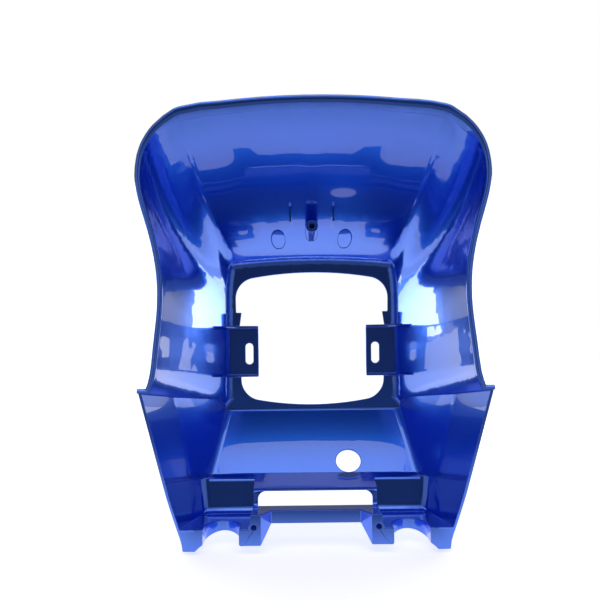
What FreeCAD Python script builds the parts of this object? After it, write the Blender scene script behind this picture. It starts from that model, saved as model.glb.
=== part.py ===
import FreeCAD, Part
import math
import os

V = FreeCAD.Vector
doc = FreeCAD.newDocument("headlight_cowl")

# Millimetres. X runs across, +Y to the front of the bike, Z up.
# The origin is the middle of the lamp opening, on the inner face of its frame.
SIZES = [
    ("wall", 2.8),
    ("rimInside", 1.2), ("rimOutside", 1.8), ("rimWidth", 6.0),
    ("depth", 182.0),
    # frame round the lamp
    ("frameTopHalf", 96.0), ("frameTop", 106.0), ("frameCrown", 5.0), ("frameLowHalf", 99.0),
    ("frameDrop", 69.0), ("frameRound", 12.0), ("creaseRound", 14.0), ("screenRear", 217.0), ("screenSag", 5.0),
    ("cheekBulge", 10.4),
    ("openingHalf", 84.5), ("openingTop", 91.0), ("openingDrop", 63.0), ("openingCorner", 24.0),
    ("openingBow", 5.0), ("openingStep", 4.5), ("stepHeight", 45.0),
    # shelf between the upper and the lower cheeks
    ("shelfFront", 56.0), ("shelfRear", 37.7),
    # chin, stair and floor
    ("chinDepth", 47.5), ("chinDrop", 134.55), ("ledgeDepth", 60.0), ("ledgeDrop", 136.5), ("riserDepth", 65.0),
    ("floorDrop", 172.0),
    ("chinRound", 8.0), ("seamRound", 12.0), ("ledgeRound", 3.0), ("ridgeRound", 5.0), ("floorRound", 9.0),
    ("stairHalf", 63.5), ("treadFront", 134.0), ("treadRear", 143.0), ("stairDepth", 88.0), ("stairFloor", 159.4),
    ("stairRound", 5.0),
    ("slotHalf", 58.5), ("slotTop", 144.6), ("slotCorner", 8.0),
    # fork notches and the skirt under the floor
    ("forkHalf", 92.0), ("forkRadius", 17.5), ("forkDepth", 112.5), ("collar", 3.0),
    ("skirtDepth", 124.0), ("skirtWall", 3.0), ("barDepth", 108.0), ("barHalf", 44.0), ("barDrop", 171.0),
    ("tabInner", 53.3), ("tabDrop", 188.0), ("archTop", 182.0), ("archRadius", 33.0), ("tipDrop", 193.0),
    ("tipInner", 116.0), ("tipOuter", 128.5), ("cheekAtFloor", 131.0),
    ("footHalf", 60.0), ("footDrop", 170.4), ("footDia", 11.0), ("footBore", 5.4), ("footLong", 18.0),
    ("footBoreDeep", 14.0),
    # lamp tabs
    ("tabInnerEdge", 62.5), ("tabTop", 29.0), ("tabBottom", 30.0), ("tabWall", 3.0),
    ("tabRib", 2.6), ("tabRibDeep", 9.0), ("tabRibReach", 30.0), ("slotX", 73.2), ("slotZ", -3.2),
    ("slotWide", 9.0), ("slotLong", 24.5),
    # boss, fins and pads behind the screen
    ("bossDia", 12.6), ("bossBase", 15.4), ("bossBore", 5.8), ("bossZ", 128.6), ("bossEnd", 78.0), ("bossBoreDeep", 24.0),
    ("finX", 22.3), ("finWall", 2.0), ("finTop", 150.0), ("finBottom", 133.0), ("finEnd", 79.5),
    ("padX", 36.8), ("padZ", 123.0), ("padDia", 15.4), ("padProud", 0.8),
    # hole in the chin
    ("holeX", 37.8), ("holeDown", 66.0), ("holeDia", 27.0),
    # where the floor gives way to the cheeks
    ("sideStart", 117.0),
]

sheet = doc.addObject("Spreadsheet::Sheet", "sizes")
for row, (name, value) in enumerate(SIZES, start=1):
    sheet.set("A%d" % row, name)
    sheet.set("B%d" % row, str(value))
    sheet.setAlias("B%d" % row, name)
doc.recompute()


def size(name):
    return float(getattr(sheet, name))


wall = size("wall")
depth = size("depth")

# Right half of the upper room where it is cut off behind the rim: from the
# crease of the screen over the shoulder and the waist to the shelf.
REAR_SIDE = [(119.0, 208.0), (136.5, 195.0), (147.3, 184.5), (154.8, 164.0), (146.8, 120.0), (136.6, 68.0),
             (136.6, 38.0), (140.4, 0.0), (142.6, -22.0), (150.0, -46.0)]
# Plan of the lower cheeks at four heights: front half width (20 ahead of the
# frame), the soft bend, and the half width at the cut-off plane.
CHEEK_ROWS = [(-30.0, 100.0, 143.0, -105.0, 153.0), (-138.0, 82.6, 128.0, -75.0, 144.0),
              (-180.0, 95.5, 125.5, -103.0, 140.0), (-202.0, 95.5, 124.0, -108.0, 138.8)]
CHEEK_BEND = 40.0
CHEEK_FRONT = 20.0
# Rear edge of the cowl seen from the side, from above the screen to the corner at the shelf.
RIM_SIDE = [(-182.0, 240.0), (-181.0, 212.0), (-176.5, 180.0), (-172.0, 140.0), (-170.0, 95.0), (-170.5, 50.0),
            (-173.0, 10.0), (-177.5, -28.0), (-180.0, -38.0)]
RIM_TIP = (-119.0, -194.0)
# The lower cheeks run on below the floor as tips beside the skirt.
TIP_SIDE = [(-150.0, -165.0), (-82.0, -165.0), (-82.0, -175.0), (-113.0, -194.0), (-150.0, -194.0)]


def mirrored(p):
    return V(-p.x, p.y, p.z)


def polygon(points):
    return Part.makePolygon(points + [points[0]])


def prism_x(points, half):
    """A flat outline in Y and Z pulled out to both sides."""
    face = Part.Face(polygon([V(-half, y, z) for y, z in points]))
    return face.extrude(V(2 * half, 0, 0))


def curve(points):
    line = Part.BSplineCurve()
    line.interpolate(points)
    return line.toShape()


def side_line(part, grow):
    """Right side of the upper room at a part of its depth, crease first, moved outwards by grow."""
    spans = [math.hypot(b[0] - a[0], b[1] - a[1]) for a, b in zip(REAR_SIDE, REAR_SIDE[1:])]
    front_top = size("frameTop") - size("frameCrown")
    front_low = -size("shelfFront") - 6.0
    line = []
    for i, (x, z) in enumerate(REAR_SIDE):
        down = sum(spans[:i]) / sum(spans)
        front_x = size("frameTopHalf") + (size("frameLowHalf") - size("frameTopHalf")) * down
        front_z = front_top + (front_low - front_top) * down
        swell = 4 * size("cheekBulge") * part * (1 - part) * min(i / 3, 1)
        sag = 4 * size("screenSag") * part * (1 - part) * max(1 - i / 3, 0)
        line.append((front_x + (x - front_x) * part + swell, front_z + (z - front_z) * part - sag))
    moved = []
    for i, (x, z) in enumerate(line):
        a, b = line[max(i - 1, 0)], line[min(i + 1, len(line) - 1)]
        run = math.hypot(b[0] - a[0], b[1] - a[1])
        across, up = -(b[1] - a[1]) / run, (b[0] - a[0]) / run
        if i == 0:
            across, up = across / (1 + up), 1.12
        moved.append((x + across * grow, z + up * grow))
    return moved


def upper_room(grow):
    """Space under the crowned screen and between the swelling upper cheeks."""
    rings = []
    for part in (0.0, 0.5, 1.0):
        y = grow - (depth + grow) * part
        right = [V(x, y, z) for x, z in side_line(part, grow)]
        left = [mirrored(p) for p in reversed(right)]
        sag = 4 * size("screenSag") * part * (1 - part)
        middle = V(0, y, size("frameTop") + (size("screenRear") - size("frameTop")) * part - sag + 1.15 * grow)
        rings.append(Part.Wire([Part.Arc(left[-1], middle, right[0]).toShape(), curve(right),
                                Part.makeLine(right[-1], left[0]), curve(left)]))
    room = Part.makeLoft(rings, True, False)
    crease = [e for e in room.Edges if e.BoundBox.YLength > depth / 2 and e.BoundBox.ZMin > size("frameTop") / 2]
    room = room.makeFillet(size("creaseRound") + grow, crease)
    ring = [e for e in room.Edges if e.BoundBox.YMin > grow - 0.01 and e.BoundBox.ZMax > 0]
    return room.makeFillet(size("frameRound") + grow, ring)


def crossing(first, second):
    (x1, y1), (x2, y2) = first
    (x3, y3), (x4, y4) = second
    a = x1 * y2 - y1 * x2
    b = x3 * y4 - y3 * x4
    d = (x1 - x2) * (y3 - y4) - (y1 - y2) * (x3 - x4)
    return ((a * (x3 - x4) - (x1 - x2) * b) / d, (a * (y3 - y4) - (y1 - y2) * b) / d)


def rounded_prism(points, rounds, half):
    """prism_x with some of its long edges rounded."""
    solid = prism_x(points, half)
    for (y, z), radius in rounds:
        edge = [e for e in solid.Edges if e.BoundBox.XLength > half
                and abs(e.CenterOfMass.y - y) < 0.01 and abs(e.CenterOfMass.z - z) < 0.01]
        solid = solid.makeFillet(radius, edge)
    return solid


def chin_line(grow):
    """Frame, chin, ledge, riser and floor in the middle plane, moved outwards by grow."""
    stops = [(0.0, -size("shelfFront")), (0.0, -size("frameDrop")), (-size("chinDepth"), -size("chinDrop")),
             (-size("ledgeDepth"), -size("ledgeDrop")), (-size("riserDepth"), -size("floorDrop")), (-depth, -size("floorDrop"))]
    lines = []
    for (ya, za), (yb, zb) in zip(stops, stops[1:]):
        run = math.hypot(yb - ya, zb - za)
        ny, nz = -(zb - za) / run * grow, (yb - ya) / run * grow
        lines.append(((ya + ny, za + nz), (yb + ny, zb + nz)))
    bends = [crossing(a, b) for a, b in zip(lines, lines[1:])]
    return bends


def lower_room(grow):
    """Space behind the chin, between the lower cheeks and above the floor."""
    bends = chin_line(grow)
    outline = [(grow, -size("shelfFront") + grow)] + bends
    outline += [(-depth, -size("floorDrop") - grow), (-depth, -size("shelfRear") + grow)]
    rounds = [(bends[0], size("chinRound") + grow), (bends[1], size("ledgeRound") + grow),
              (bends[2], max(size("ridgeRound") - grow, 1.0)), (bends[3], size("floorRound") + grow)]
    return rounded_prism(outline, rounds, 180.0).common(cheeks(grow))


def cheeks(grow):
    """The plan of the lower cheeks from row to row."""
    rows = []
    for z, front, bend, bend_y, rear in CHEEK_ROWS:
        a, b, c = V(front + grow, CHEEK_FRONT, z), V(bend + grow, bend_y, z), V(rear + grow, -depth, z)
        u, w = (a - b).normalize(), (c - b).normalize()
        half = math.acos(u.dot(w)) / 2
        radius = CHEEK_BEND + grow
        p, q = b + u * (radius / math.tan(half)), b + w * (radius / math.tan(half))
        mid = b + (u + w).normalize() * (radius / math.sin(half) - radius)
        right = [Part.makeLine(a, p), Part.Arc(p, mid, q).toShape(), Part.makeLine(q, c)]
        am, pm, mm, qm, cm = [mirrored(v) for v in (a, p, mid, q, c)]
        left = [Part.makeLine(cm, qm), Part.Arc(qm, mm, pm).toShape(), Part.makeLine(pm, am)]
        rows.append(Part.Wire([Part.makeLine(am, a)] + right + [Part.makeLine(c, cm)] + left))
    return Part.makeLoft(rows, True, True)


def cheek_point(z, y):
    """A point of the right lower cheek ahead of its bend."""
    pairs = zip(CHEEK_ROWS, CHEEK_ROWS[1:])
    (za, fa, ba, ya, _), (zb, fb, bb, yb, _) = next(pair for pair in pairs if pair[1][0] <= z)
    down = (z - za) / (zb - za)
    front, bend, bend_y = fa + (fb - fa) * down, ba + (bb - ba) * down, ya + (yb - ya) * down
    return V(front + (bend - front) * (CHEEK_FRONT - y) / (CHEEK_FRONT - bend_y), y, z)


def stair(grow):
    """Raised middle of the floor with the tread, which the room leaves free."""
    half = size("stairHalf") - grow
    back = size("stairDepth") - grow
    top = -size("treadRear") - grow
    low = -size("stairFloor") - grow
    outline = [(30.0, -size("treadFront") - grow), (-size("chinDepth"), -size("treadFront") - grow), (-back, top),
               (-back - 0.5, low), (-depth - 20.0, low), (-depth - 20.0, -230.0), (30.0, -230.0)]
    rounds = [((-back, top), max(size("stairRound") - grow, 1.0)), ((-back - 0.5, low), 4.0 + grow)]
    return rounded_prism(outline, rounds, half)


def room(grow):
    return upper_room(grow).fuse(lower_room(grow)).cut(stair(grow))


def behind_rim(shift):
    """Everything behind the rear edge, moved forward by shift."""
    side = -260.0
    line = curve([V(side, y + shift, z) for y, z in RIM_SIDE])
    top = V(side, RIM_SIDE[0][0] + shift, RIM_SIDE[0][1])
    corner = V(side, RIM_SIDE[-1][0] + shift, RIM_SIDE[-1][1])
    tip = V(side, RIM_TIP[0] + shift, RIM_TIP[1])
    stops = [corner, tip, V(side, tip.y, -300), V(side, -320, -300), V(side, -320, top.z), top]
    edges = [line] + [Part.makeLine(a, b) for a, b in zip(stops, stops[1:])]
    return Part.Face(Part.Wire(edges)).extrude(V(-2 * side, 0, 0))


def skin(outside, inside):
    """Wall of the room, with the tips below it, between two distances from the inner face."""
    tips = cheeks(outside).cut(cheeks(inside)).common(prism_x(TIP_SIDE, 200.0))
    return room(outside).cut(room(inside)).fuse(tips)


away = behind_rim(0.0)
near = behind_rim(size("rimWidth"))
lip = skin(wall + size("rimOutside"), -size("rimInside")).common(near)
lip = lip.cut(Part.makeBox(600, 400, 300, V(-300, -340, -size("shelfRear") - 300)))
shell = doc.addObject("Part::Feature", "Shell")
shell.Shape = skin(wall, 0.0).fuse(lip).cut(away)


def plate(name, points, start, reach):
    """A flat outline, given as points in space, pulled along reach."""
    thing = doc.addObject("Part::Feature", name)
    face = Part.Face(polygon([p + start for p in points]))
    thing.Shape = face.extrude(reach)
    return thing


def bound(kind, name, turn=None, **links):
    """A primitive whose sizes and place follow the sheet."""
    thing = doc.addObject(kind, name)
    if turn:
        thing.Placement = FreeCAD.Placement(V(0, 0, 0), FreeCAD.Rotation(*turn))
    for key, formula in links.items():
        path = {"x": "Placement.Base.x", "y": "Placement.Base.y", "z": "Placement.Base.z"}.get(key, key)
        thing.setExpression(path, formula)
    return thing


def twin(thing):
    """The same thing on the left side."""
    other = doc.addObject("Part::Mirroring", thing.Name + "Left")
    other.Source = thing
    other.Normal = V(1, 0, 0)
    other.Base = V(0, 0, 0)
    return other


FORWARD = (V(1, 0, 0), -90)
added = [shell]
inside = []
taken = []

# Lamp opening: bowed above and below, wider above the tabs.
half = size("openingHalf")
wide = half + size("openingStep")
top, step, drop, bow = size("openingTop"), size("stepHeight"), size("openingDrop"), size("openingBow")
up, down = top - 2 * bow, -drop + 2 * bow
side = [V(wide, -1, up), V(wide - 0.5, -1, step), V(half - 2.3, -1, step), V(half, -1, size("tabTop")),
        V(half - 2.0, -1, down)]
other = [mirrored(p) for p in side]
edges = [Part.Arc(other[0], V(0, -1, top), side[0]).toShape()]
edges += [Part.makeLine(a, b) for a, b in zip(side, side[1:])]
edges += [Part.Arc(side[-1], V(0, -1, -drop), other[-1]).toShape()]
edges += [Part.makeLine(b, a) for a, b in reversed(list(zip(other, other[1:])))]
hole = Part.Face(Part.Wire(edges)).extrude(V(0, 2 * wall + 2, 0))
corners = [e for e in hole.Edges if e.BoundBox.YLength > wall
           and (abs(e.CenterOfMass.z - up) < 0.1 or abs(e.CenterOfMass.z - down) < 0.1)]
opening = doc.addObject("Part::Feature", "Opening")
opening.Shape = hole.makeFillet(size("openingCorner"), corners)
taken.append(opening)

# Lamp tabs: a plate with an upright slot, held by a rib above and below.
tab = bound("Part::Box", "Tab", x="sizes.tabInnerEdge", y="-sizes.tabWall", z="-sizes.tabBottom",
            Length="sizes.frameTopHalf - sizes.tabInnerEdge", Width="sizes.tabWall + 1",
            Height="sizes.tabTop + sizes.tabBottom")
rib_outline = [V(size("tabInnerEdge"), 1, 0), V(size("tabInnerEdge"), -size("tabRibDeep") * 0.55, 0),
               V(half, -size("tabRibDeep"), 0), V(half + 17.5, -size("tabRibReach") + 5, 0),
               V(half + 13.0, 1, 0)]
thick = V(0, 0, size("tabRib"))
rib_high = plate("TabRibHigh", rib_outline, V(0, 0, size("tabTop") - size("tabRib")), thick)
rib_low = plate("TabRibLow", rib_outline, V(0, 0, -size("tabBottom")), thick)
slot_mid = bound("Part::Box", "TabSlot", x="sizes.slotX - sizes.slotWide / 2", y="-sizes.tabWall - 20",
                 z="sizes.slotZ - (sizes.slotLong - sizes.slotWide) / 2", Length="sizes.slotWide", Width="40",
                 Height="sizes.slotLong - sizes.slotWide")
slot_ends = []
for word, sign in (("High", "+"), ("Low", "-")):
    slot_ends.append(bound("Part::Cylinder", "TabSlot" + word, FORWARD, Radius="sizes.slotWide / 2", Height="40",
                           x="sizes.slotX", y="-sizes.tabWall - 20",
                           z="sizes.slotZ %s (sizes.slotLong - sizes.slotWide) / 2" % sign))
for thing in (tab, rib_high, rib_low):
    inside += [thing, twin(thing)]
for thing in [slot_mid] + slot_ends:
    taken += [thing, twin(thing)]

# Screw boss, two fins and two ejector pads behind the screen, all along the draw.
screen_slope = (size("screenRear") - size("frameTop")) / depth


def screen_at(z):
    return -(z - size("frameTop")) / screen_slope


boss = bound("Part::Cone", "Boss", FORWARD, Radius1="sizes.bossDia / 2", Radius2="sizes.bossBase / 2", x="0",
             y="-sizes.bossEnd", z="sizes.bossZ", Height="sizes.bossEnd")
bore = bound("Part::Cylinder", "BossBore", FORWARD, Radius="sizes.bossBore / 2", x="0", y="-sizes.bossEnd - 1",
             z="sizes.bossZ", Height="sizes.bossBoreDeep + 1")
inside.append(boss)
taken.append(bore)
fin_points = [V(0, -size("finEnd"), size("finBottom")), V(0, -size("finEnd"), size("finTop") + 1),
              V(0, screen_at(size("finBottom") - 1), size("finBottom"))]
fin = plate("Fin", fin_points, V(size("finX") - size("finWall") / 2, 0, 0), V(size("finWall"), 0, 0))
pin = bound("Part::Cylinder", "Pin", FORWARD, Radius="sizes.padDia / 2", x="sizes.padX", y="-sizes.bossEnd",
            z="sizes.padZ", Height="sizes.bossEnd")
drop = size("frameCrown") * (size("padX") / size("frameTopHalf")) ** 2
drop += size("padProud") / math.cos(math.atan(screen_slope))
pin_end = 42.0 / depth
pin_z = size("frameTop") + 42.0 * screen_slope - 4 * size("screenSag") * pin_end * (1 - pin_end) - drop
under = [V(0, 0, 0), V(0, 0, size("frameTop") - drop), V(0, -42.0, pin_z),
         V(0, -depth, size("screenRear") - drop), V(0, -depth, 0)]
free = plate("PadFree", under, V(0, 0, 0), V(90, 0, 0))
pad = doc.addObject("Part::Cut", "Pad")
pad.Base, pad.Tool = pin, free
for thing in (fin, pad):
    inside += [thing, twin(thing)]

# Round hole in the chin, square to it and off to the right.
chin_run = V(0, -size("chinDepth"), -(size("chinDrop") - size("frameDrop"))).normalize()
chin_out = V(0, chin_run.z, -chin_run.y)
spot = V(size("holeX"), 0, -size("frameDrop")) + chin_run * size("holeDown")
chin_hole = doc.addObject("Part::Feature", "ChinHole")
chin_hole.Shape = Part.makeCylinder(size("holeDia") / 2, 40, spot - chin_out * 20, chin_out)
taken.append(chin_hole)

# Rounding where the chin and the riser meet each cheek.
def corner_round(name, high, low, face_out):
    """Filling in the corner between the right cheek and a face that looks along face_out."""
    top, foot = [cheek_point(z, y) for y, z in (high, low)]
    along = foot - top
    cheek_in = along.cross(cheek_point(high[1], high[0] - 30.0) - top).normalize()
    cheek_in = cheek_in if cheek_in.x < 0 else cheek_in * -1
    radius = size("seamRound")
    axis = top + (face_out + cheek_in) * (radius / (1 + face_out.dot(cheek_in)))
    on_face, on_cheek = axis - face_out * radius, axis - cheek_in * radius
    wedge = [top - face_out - cheek_in, on_face - face_out, on_face, on_cheek, on_cheek - cheek_in]
    strip = plate(name, wedge, V(0, 0, 0), along)
    hollow = Part.makeCylinder(radius, along.Length + 20, axis - along * (10 / along.Length), along)
    strip.Shape = strip.Shape.cut(hollow)
    return strip


frame_foot, chin_foot = (0.0, -size("frameDrop")), (-size("chinDepth"), -size("chinDrop"))
riser_top, riser_foot = (-size("ledgeDepth"), -size("ledgeDrop")), (-size("riserDepth"), -size("floorDrop"))
riser_run = V(0, riser_foot[0] - riser_top[0], riser_foot[1] - riser_top[1]).normalize()
seam = corner_round("Seam", frame_foot, chin_foot, chin_out)
nook = corner_round("Nook", riser_top, riser_foot, V(0, riser_run.z, -riser_run.y))
for thing in (seam, nook):
    inside += [thing, twin(thing)]

# Slot through the riser of the stair: round upper corners, open down to its floor.
slot_half, slot_top = size("slotHalf"), -size("slotTop")
slot_box = Part.makeBox(2 * slot_half, 40, slot_top + size("stairFloor"),
                        V(-slot_half, -size("stairDepth") - 20, -size("stairFloor")))
high = [e for e in slot_box.Edges if e.BoundBox.YLength > 30 and e.BoundBox.ZMin > slot_top - 0.1]
riser_slot = doc.addObject("Part::Feature", "RiserSlot")
riser_slot.Shape = slot_box.makeFillet(size("slotCorner"), high)
taken.append(riser_slot)

# Skirt under the floor: bar, screw tabs, fork collars and outer tips.
skirt, face_y = size("skirtWall"), -size("skirtDepth")
bar_y = -size("barDepth")
bar, tab_in = size("barHalf"), size("tabInner")
path = [V(0, bar_y, 0), V(bar, bar_y, 0), V(tab_in, face_y, 0), V(size("cheekAtFloor"), face_y, 0)]
back = [p - V(0, skirt, 0) for p in path]
plan = path + list(reversed(back))
band = Part.Face(polygon([p + V(0, 0, -230) for p in plan])).extrude(V(0, 0, 230 - size("stairFloor") + 0.5))
view = [V(0, 0, -size("stairFloor") + 1), V(0, 0, -size("barDrop")), V(bar, 0, -size("barDrop")),
        V(tab_in, 0, -size("tabDrop")), V(size("forkHalf") - 22, 0, -size("tabDrop")),
        V(size("tipInner"), 0, -size("tipDrop")), V(size("tipOuter"), 0, -size("tipDrop")),
        V(size("cheekAtFloor"), 0, -size("floorDrop")), V(size("stairHalf"), 0, -size("floorDrop")),
        V(size("stairHalf"), 0, -size("stairFloor") + 1)]
seen = Part.Face(polygon([p + V(0, -200, 0) for p in view])).extrude(V(0, 200, 0))
fork = V(size("forkHalf"), -size("forkDepth"), -size("tipDrop") - 10)
tall = size("tipDrop") + 10 - size("floorDrop")
ring = Part.makeCylinder(size("forkRadius") + size("collar"), tall, fork)
ring = ring.cut(Part.makeBox(80, 80, 200, V(size("forkHalf") - 40, face_y - 80 - skirt, -250)))
arch = Part.makeCylinder(size("archRadius"), 200, V(size("forkHalf"), 0, -size("archTop") - size("archRadius")),
                         V(0, -1, 0))
skirt_right = band.common(seen).fuse(ring).cut(arch)
skirts = doc.addObject("Part::Feature", "Skirts")
skirts.Shape = skirt_right.fuse(skirt_right.mirror(V(0, 0, 0), V(1, 0, 0)))
added.append(skirts)
notch = bound("Part::Cylinder", "ForkNotch", Radius="sizes.forkRadius", Height="60", x="sizes.forkHalf",
              y="-sizes.forkDepth", z="-sizes.floorDrop - 40")
notch_mouth = bound("Part::Box", "ForkMouth", Length="2 * sizes.forkRadius", Width="80", Height="60",
                    x="sizes.forkHalf - sizes.forkRadius", y="-sizes.forkDepth - 80", z="-sizes.floorDrop - 40")
for thing in (notch, notch_mouth):
    taken += [thing, twin(thing)]

# The floor ends at the skirt.
start, end_y = size("sideStart"), face_y - skirt
half_past = [V(bar, bar_y - skirt, 0), V(tab_in, end_y, 0), V(start, end_y, 0), V(start, -260, 0)]
past = half_past + [mirrored(p) for p in reversed(half_past)]
floor_end = plate("FloorEnd", past, V(0, 0, -240), V(0, 0, 240 - size("treadRear") - 8))
taken.append(floor_end)

# Screw bosses in the skirt tabs.
foot = bound("Part::Cylinder", "Foot", FORWARD, Radius="sizes.footDia / 2", Height="sizes.footLong",
             x="sizes.footHalf", y="-sizes.skirtDepth - sizes.skirtWall", z="-sizes.footDrop")
foot_bore = bound("Part::Cylinder", "FootBore", FORWARD, Radius="sizes.footBore / 2",
                  Height="sizes.footBoreDeep + 1", x="sizes.footHalf",
                  y="-sizes.skirtDepth - sizes.skirtWall - 1", z="-sizes.footDrop")
added += [foot, twin(foot)]
taken += [foot_bore, twin(foot_bore)]

# What stands on the inner face ends inside the wall.
rooted = doc.addObject("Part::MultiFuse", "Rooted")
rooted.Shapes = inside
limit = doc.addObject("Part::Feature", "HalfWall")
limit.Shape = room(wall / 2)
held = doc.addObject("Part::MultiCommon", "Held")
held.Shapes = [rooted, limit]
added.append(held)

whole = doc.addObject("Part::MultiFuse", "Whole")
whole.Shapes = added
cuts = doc.addObject("Part::MultiFuse", "Cuts")
cuts.Shapes = taken
cowl = doc.addObject("Part::Cut", "Cowl")
cowl.Base = whole
cowl.Tool = cuts
cowl.Label = "headlight_cowl"
doc.recompute()

for thing in doc.Objects:
    if "Invalid" in thing.State or "Error" in thing.State:
        raise RuntimeError("%s failed" % thing.Name)
if cowl.Shape.isNull() or not cowl.Shape.isValid() or len(cowl.Shape.Solids) != 1:
    raise RuntimeError("the cowl is not one sound solid: %d" % len(cowl.Shape.Solids))
os.makedirs("parts", exist_ok=True)
cowl.Shape.exportStep("parts/%s.step" % cowl.Label)
print(cowl.Label, round(cowl.Shape.Volume), len(cowl.Shape.Faces))
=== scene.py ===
import math
import bmesh
import bpy
from mathutils import Euler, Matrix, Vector


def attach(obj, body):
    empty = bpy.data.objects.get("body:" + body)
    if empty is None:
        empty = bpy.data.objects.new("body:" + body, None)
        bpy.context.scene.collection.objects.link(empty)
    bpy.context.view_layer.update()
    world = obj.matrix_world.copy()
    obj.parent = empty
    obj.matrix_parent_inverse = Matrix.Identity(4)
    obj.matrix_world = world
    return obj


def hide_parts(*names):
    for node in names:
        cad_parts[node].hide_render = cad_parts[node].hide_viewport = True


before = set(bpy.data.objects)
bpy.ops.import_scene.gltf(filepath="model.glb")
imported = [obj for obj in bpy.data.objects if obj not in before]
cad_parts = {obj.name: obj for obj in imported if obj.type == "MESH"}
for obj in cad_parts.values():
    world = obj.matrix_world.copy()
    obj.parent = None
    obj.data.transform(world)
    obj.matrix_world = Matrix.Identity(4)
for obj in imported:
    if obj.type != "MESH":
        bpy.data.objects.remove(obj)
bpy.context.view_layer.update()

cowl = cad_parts["headlight_cowl"]


def addNode(tree, kind, label, **values):
    node = tree.nodes.new(kind)
    node.label = label
    for name, value in values.items():
        setattr(node, name, value)
    return node


def addMath(tree, label, operation, *sources):
    node = addNode(tree, "ShaderNodeMath", label, operation=operation)
    for source, socket in zip(sources, node.inputs):
        tree.links.new(source, socket)
    return node.outputs["Value"]


def addRange(tree, label, source, start, end, blend="SMOOTHSTEP"):
    node = addNode(tree, "ShaderNodeMapRange", label, interpolation_type=blend)
    node.inputs["From Min"].default_value, node.inputs["From Max"].default_value = start
    node.inputs["To Min"].default_value, node.inputs["To Max"].default_value = end
    tree.links.new(source, node.inputs["Value"])
    return node.outputs["Result"]


# candy blue paint over the moulded shell
paint = {
    "blueDeep": (0.015, 0.12, 0.78, 1.0),
    "blueLight": (0.026, 0.20, 0.95, 1.0),
    "metal": 0.85,
    "roughness": 0.22,
    "coat": 1.0,
    "coatRoughness": 0.02,
    "coatIor": 1.8,
    "flakeScale": 2600.0,   # per metre
    "peelScale": 170.0,
    "peelDetail": 1.5,
    "peelStrength": 0.012,
    "peelHeight": 0.001,
}


def makePaint():
    material = bpy.data.materials.new("candyBluePaint")
    material.use_nodes = True
    tree = material.node_tree
    link = tree.links.new
    surface = tree.nodes["Principled BSDF"]
    place = addNode(tree, "ShaderNodeTexCoord", "place on the shell")

    flake = addNode(tree, "ShaderNodeTexVoronoi", "metal flakes")
    flake.inputs["Scale"].default_value = paint["flakeScale"]
    link(place.outputs["Object"], flake.inputs["Vector"])
    sparkle = addNode(tree, "ShaderNodeValToRGB", "flake colours")
    sparkle.color_ramp.elements[0].color = paint["blueDeep"]
    sparkle.color_ramp.elements[1].color = paint["blueLight"]
    link(flake.outputs["Color"], sparkle.inputs["Fac"])
    link(sparkle.outputs["Color"], surface.inputs["Base Color"])

    peel = addNode(tree, "ShaderNodeTexNoise", "orange peel")
    peel.inputs["Scale"].default_value = paint["peelScale"]
    peel.inputs["Detail"].default_value = paint["peelDetail"]
    link(place.outputs["Object"], peel.inputs["Vector"])
    ripple = addNode(tree, "ShaderNodeBump", "lacquer ripple")
    ripple.inputs["Strength"].default_value = paint["peelStrength"]
    ripple.inputs["Distance"].default_value = paint["peelHeight"]
    link(peel.outputs["Fac"], ripple.inputs["Height"])
    link(ripple.outputs["Normal"], surface.inputs["Normal"])

    surface.inputs["Metallic"].default_value = paint["metal"]
    surface.inputs["Roughness"].default_value = paint["roughness"]
    surface.inputs["Coat Weight"].default_value = paint["coat"]
    surface.inputs["Coat Roughness"].default_value = paint["coatRoughness"]
    surface.inputs["Coat IOR"].default_value = paint["coatIor"]
    return material


candyBlue = makePaint()
print("paint done")

# the moulded shell with its hard edges broken, as sprayed plastic has
shell = {
    "weld": 0.00002,
    "edgeAngle": 28.0,      # sharper edges than this get rounded
    "tightAngle": 45.0,
    "rimRound": 0.0036,     # outer edge of the rolled rim
    "rimInner": 0.0018,
    "edgeRound": 0.0008,
    "holeRound": 0.0003,
    "edgeSteps": 4,
    "flatWeight": 50,
    "rimFrom": (-0.160, -0.036),   # the rim lies behind this depth and above this height
    "rimFacing": -0.8,
    "rimMiddle": 0.060,
    "seamFrom": -0.030,
    "screwHole": (0.060, -0.125, -0.1704),   # the same on both sides
    "holeReach": 0.010,
    "cornerAt": (0.100, -0.181, 0.160),   # middle of the two upper corners
    "cornerRun": (0.133, 0.67),           # how it moves in and down towards the front
    # degrees round that middle, and how far out
    "cornerEase": [(10, 0.0), (30, 0.0012), (41, 0.0024), (51, 0.0026), (58, 0.0019), (65, 0.0008),
                   (70, 0.0003), (75, 0.0005), (86, 0.001), (95, 0.001), (110, 0.0)],
    "cornerFade": (-0.09, -0.17),
    "cornerInner": 0.035,
}


def edgeRounding(edge):
    middle = (edge.verts[0].co + edge.verts[1].co) / 2
    mirrored = Vector((abs(middle.x), middle.y, middle.z))
    if (mirrored - Vector(shell["screwHole"])).length < shell["holeReach"]:
        return shell["holeRound"]
    rear, side = sorted(edge.link_faces, key=lambda face: face.normal.y)
    onRim = middle.y < shell["rimFrom"][0] and middle.z > shell["rimFrom"][1]
    if onRim and rear.normal.y < shell["rimFacing"]:
        outwards = side.normal.dot(Vector((middle.x, 0.0, middle.z - shell["rimMiddle"]))) > 0
        return shell["rimRound"] if outwards else shell["rimInner"]
    return shell["edgeRound"]


def hardEdges(work):
    limit = math.radians(shell["edgeAngle"])
    return {edge for edge in work.edges if edge.calc_face_angle(0.0) > limit}


# two edges that meet in a narrow wedge stay as they are, since a bevel runs away there
def tightCorner(edge, hard):
    limit = math.radians(shell["tightAngle"])
    for vert in edge.verts:
        along = edge.other_vert(vert).co - vert.co
        for other in vert.link_edges:
            if other is not edge and other in hard:
                if along.angle(other.other_vert(vert).co - vert.co, 0.0) < limit:
                    return True
    return False


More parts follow.
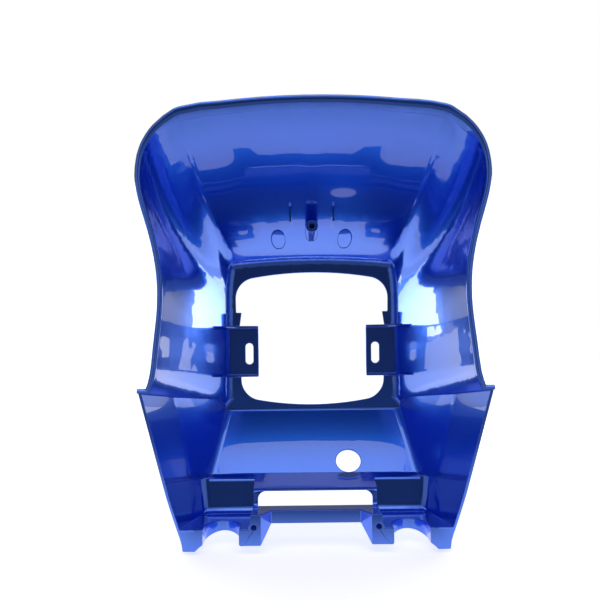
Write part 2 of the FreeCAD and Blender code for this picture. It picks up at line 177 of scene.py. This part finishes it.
# the upper corners turn in one sweep: moved out most in the flat part and least at the crease
def easeCorners(work):
    front, rear = shell["cornerFade"]
    for vert in work.verts:
        ahead = vert.co.y - shell["cornerAt"][1]
        middleX = shell["cornerAt"][0] - shell["cornerRun"][0] * ahead
        middleZ = shell["cornerAt"][2] - shell["cornerRun"][1] * ahead
        across, up = abs(vert.co.x) - middleX, vert.co.z - middleZ
        reach = math.hypot(across, up)
        turn = math.degrees(math.atan2(up, across))
        share = min(1.0, (vert.co.y - front) / (rear - front))
        if share <= 0.0 or reach < shell["cornerInner"]:
            continue
        for (turnA, shiftA), (turnB, shiftB) in zip(shell["cornerEase"], shell["cornerEase"][1:]):
            if turnA <= turn < turnB:
                shift = shiftA + (shiftB - shiftA) * (turn - turnA) / (turnB - turnA)
                grow = 1.0 + share * shift / reach
                vert.co.x = math.copysign(middleX + across * grow, vert.co.x)
                vert.co.z = middleZ + up * grow


# seam vertices that the rolled rim would run over are welded to it
def clearRim(work):
    rim = {vert for edge in hardEdges(work) if edgeRounding(edge) == shell["rimRound"] for vert in edge.verts}
    moves = {}
    for vert in work.verts:
        if vert.co.y < shell["rimFrom"][0] and vert.co.z > shell["seamFrom"] and vert not in rim:
            near = min(rim, key=lambda other: (other.co - vert.co).length)
            if (near.co - vert.co).length < shell["rimRound"]:
                moves[vert] = near
    bmesh.ops.weld_verts(work, targetmap=moves)


def makeShell():
    work = bmesh.new()
    work.from_mesh(cowl.data)
    bmesh.ops.remove_doubles(work, verts=work.verts, dist=shell["weld"])
    easeCorners(work)
    work.normal_update()
    clearRim(work)
    work.normal_update()
    weight = work.edges.layers.float.new("bevel_weight_edge")
    hard = hardEdges(work)
    for edge in hard:
        if not tightCorner(edge, hard):
            edge[weight] = edgeRounding(edge) / shell["rimRound"]
    for edge in work.edges:
        edge.smooth = True
    for face in work.faces:
        face.smooth = True
    mesh = bpy.data.meshes.new("cowlShell")
    work.to_mesh(mesh)
    work.free()
    if "custom_normal" in mesh.attributes:   # the merged mesh makes its own
        mesh.attributes.remove(mesh.attributes["custom_normal"])
    mesh.materials.clear()
    mesh.materials.append(candyBlue)
    piece = bpy.data.objects.new("cowlShell", mesh)
    bpy.context.scene.collection.objects.link(piece)
    soften = piece.modifiers.new("brokenEdges", "BEVEL")
    soften.width = shell["rimRound"]
    soften.segments = shell["edgeSteps"]
    soften.limit_method = "WEIGHT"
    soften.use_clamp_overlap = False
    level = piece.modifiers.new("flatFaces", "WEIGHTED_NORMAL")
    level.mode = "FACE_AREA"
    level.weight = shell["flatWeight"]
    return piece


cowlShell = makeShell()
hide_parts("headlight_cowl")
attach(cowlShell, "root")
print("shell done", len(cowlShell.data.polygons), "faces")

# white table that runs out to the horizon
table = {
    "drop": -0.1965,
    "halfWidth": 9.0,
    "near": -1.6,
    "far": 9.0,
    "white": (0.92, 0.92, 0.92, 1.0),
    # painted shade: the dark colour the table takes in mirrors near the camera
    "dark": (0.05, 0.05, 0.05, 1.0),
    "glow": (0.66, 0.95),        # near the cowl and far off
    "glowReach": (0.30, 1.60),
    # painted shade: in mirrors the table is dimmer towards the camera, standing in for the shade there
    "dimFrom": (-0.26, -0.15),
    "dim": (0.15, 1.0),
}


def makeWhite():
    material = bpy.data.materials.new("whiteTable")
    material.use_nodes = True
    tree = material.node_tree
    link = tree.links.new
    tree.nodes.remove(tree.nodes["Principled BSDF"])
    out = tree.nodes["Material Output"]
    path = addNode(tree, "ShaderNodeLightPath", "who looks")
    eye, mirror = path.outputs["Is Camera Ray"], path.outputs["Is Glossy Ray"]
    place = addNode(tree, "ShaderNodeNewGeometry", "place on the table")
    split = addNode(tree, "ShaderNodeSeparateXYZ", "split place")
    link(place.outputs["Position"], split.inputs["Vector"])
    dim = addRange(tree, "dim towards the camera", split.outputs["Y"], table["dimFrom"], table["dim"], "LINEAR")
    mirrored = addMath(tree, "seen in a mirror", "MULTIPLY", mirror, dim)
    lost = addMath(tree, "lost in a mirror", "SUBTRACT", mirror, mirrored)

    # painted shade: mirror rays near the camera see the dark colour instead of the white
    shade = addNode(tree, "ShaderNodeMix", "matt seen in a mirror", data_type="RGBA")
    shade.inputs[6].default_value = table["white"]   # colour A and B
    shade.inputs[7].default_value = table["dark"]
    link(lost, shade.inputs[0])
    matt = addNode(tree, "ShaderNodeBsdfDiffuse", "matt white")
    link(shade.outputs[2], matt.inputs["Color"])

    away = addNode(tree, "ShaderNodeVectorMath", "distance from the cowl", operation="LENGTH")
    link(place.outputs["Position"], away.inputs[0])
    fade = addRange(tree, "whiter far off", away.outputs["Value"], table["glowReach"], table["glow"])
    seen = addMath(tree, "camera or mirror", "MAXIMUM", eye, mirrored)
    power = addMath(tree, "glow when seen", "MULTIPLY", seen, fade)
    glow = addNode(tree, "ShaderNodeEmission", "white glow")
    link(power, glow.inputs["Strength"])

    both = addNode(tree, "ShaderNodeAddShader", "lit and glowing")
    link(matt.outputs["BSDF"], both.inputs[0])
    link(glow.outputs["Emission"], both.inputs[1])
    link(both.outputs["Shader"], out.inputs["Surface"])
    return material


bpy.ops.mesh.primitive_plane_add(size=1.0)
floor = bpy.context.active_object
floor.name = "tableTop"
floor.scale = (2 * table["halfWidth"], table["far"] - table["near"], 1.0)
floor.location = (0.0, (table["far"] + table["near"]) / 2, table["drop"])
floor.data.materials.append(makeWhite())
print("table done")

# soft boxes: name, place, aim, size, power
lights = [
    ("topBox", (0.0, -0.55, 1.25), (0.0, -0.55, 0.0), (1.6, 2.0), 8.5),
    ("leftBox", (-0.92, 0.77, 0.22), (0.0, 0.0, 0.05), (0.7, 0.4), 3.2),
    ("rightBox", (0.92, 0.77, 0.22), (0.0, 0.0, 0.05), (0.7, 0.4), 3.2),
]
for name, place, aim, size, power in lights:
    data = bpy.data.lights.new(name, "AREA")
    data.shape = "RECTANGLE"
    data.size, data.size_y = size
    data.energy = power
    lamp = bpy.data.objects.new(name, data)
    lamp.location = place
    lamp.rotation_euler = (Vector(aim) - Vector(place)).to_track_quat("-Z", "Y").to_euler()
    lamp.visible_camera = False
    bpy.context.scene.collection.objects.link(lamp)

# the room: white to the camera, as set here in mirrors, a plain fill for the rest
surround = {
    "colour": (1.0, 1.0, 1.0, 1.0),
    "white": 1.0,
    "fill": 0.2,
    "depthFrom": (-0.5, 0.3),      # from behind the camera to ahead
    "depth": (0.06, 0.5),
    "riseFrom": (0.08, 0.22),      # dimmer above the backdrop
    "rise": (1.0, 0.25),
    "windowFrom": (0.20, 0.40),    # light beside and above the camera
    "window": (0.0, 0.42),
    "behindFrom": (-0.1, -0.4),
}


def makeSurround():
    world = bpy.data.worlds.new("paleStudio")
    bpy.context.scene.world = world
    world.use_nodes = True
    tree = world.node_tree
    link = tree.links.new
    back = tree.nodes["Background"]
    back.inputs["Color"].default_value = surround["colour"]
    where = addNode(tree, "ShaderNodeTexCoord", "direction")
    parts = addNode(tree, "ShaderNodeSeparateXYZ", "split direction")
    link(where.outputs["Generated"], parts.inputs["Vector"])
    x, y, z = (parts.outputs[axis] for axis in "XYZ")

    depth = addRange(tree, "dark behind the camera", y, surround["depthFrom"], surround["depth"], "LINEAR")
    rise = addRange(tree, "dimmer above the backdrop", z, surround["riseFrom"], surround["rise"])
    room = addMath(tree, "room in mirrors", "MULTIPLY", depth, rise)

    wide = addMath(tree, "to either side", "ABSOLUTE", x)
    outward = addMath(tree, "side or above", "MAXIMUM", wide, z)
    window = addRange(tree, "light beside the camera", outward, surround["windowFrom"], surround["window"])
    behind = addRange(tree, "only behind the camera", y, surround["behindFrom"], (0.0, 1.0))
    rear = addMath(tree, "room behind", "MULTIPLY", window, behind)
    whole = addMath(tree, "whole room", "MAXIMUM", room, rear)

    path = addNode(tree, "ShaderNodeLightPath", "who looks")
    mirror = addNode(tree, "ShaderNodeMix", "mirror or fill", data_type="FLOAT")
    mirror.inputs["A"].default_value = surround["fill"]
    link(path.outputs["Is Glossy Ray"], mirror.inputs["Factor"])
    link(whole, mirror.inputs["B"])
    eye = addNode(tree, "ShaderNodeMix", "camera sees white", data_type="FLOAT")
    eye.inputs["B"].default_value = surround["white"]
    link(path.outputs["Is Camera Ray"], eye.inputs["Factor"])
    link(mirror.outputs["Result"], eye.inputs["A"])
    link(eye.outputs["Result"], back.inputs["Strength"])


makeSurround()
print("light done")

# camera behind the cowl, as the photograph was taken; focal length and shift in pixels
shot = {
    "place": (-0.0111, -0.7016, -0.0064),
    "roll": 0.0119,
    "focal": 600.0,
    "shift": (2.8, -55.9),
    "width": 600.0,
    "sensor": 36.0,
    "clip": 0.01,
}
lens = bpy.data.cameras.new("photoCamera")
lens.sensor_fit = "HORIZONTAL"
lens.sensor_width = shot["sensor"]
lens.lens = shot["sensor"] * shot["focal"] / shot["width"]
lens.shift_x = -shot["shift"][0] / shot["width"]
lens.shift_y = -shot["shift"][1] / shot["width"]
lens.clip_start = shot["clip"]
camera = bpy.data.objects.new("photoCamera", lens)
camera.location = shot["place"]
camera.rotation_mode = "XYZ"
camera.rotation_euler = Euler((math.radians(90.0), shot["roll"], 0.0))
bpy.context.scene.collection.objects.link(camera)
bpy.context.scene.camera = camera
bpy.context.scene.view_settings.view_transform = "Standard"
print("camera done")
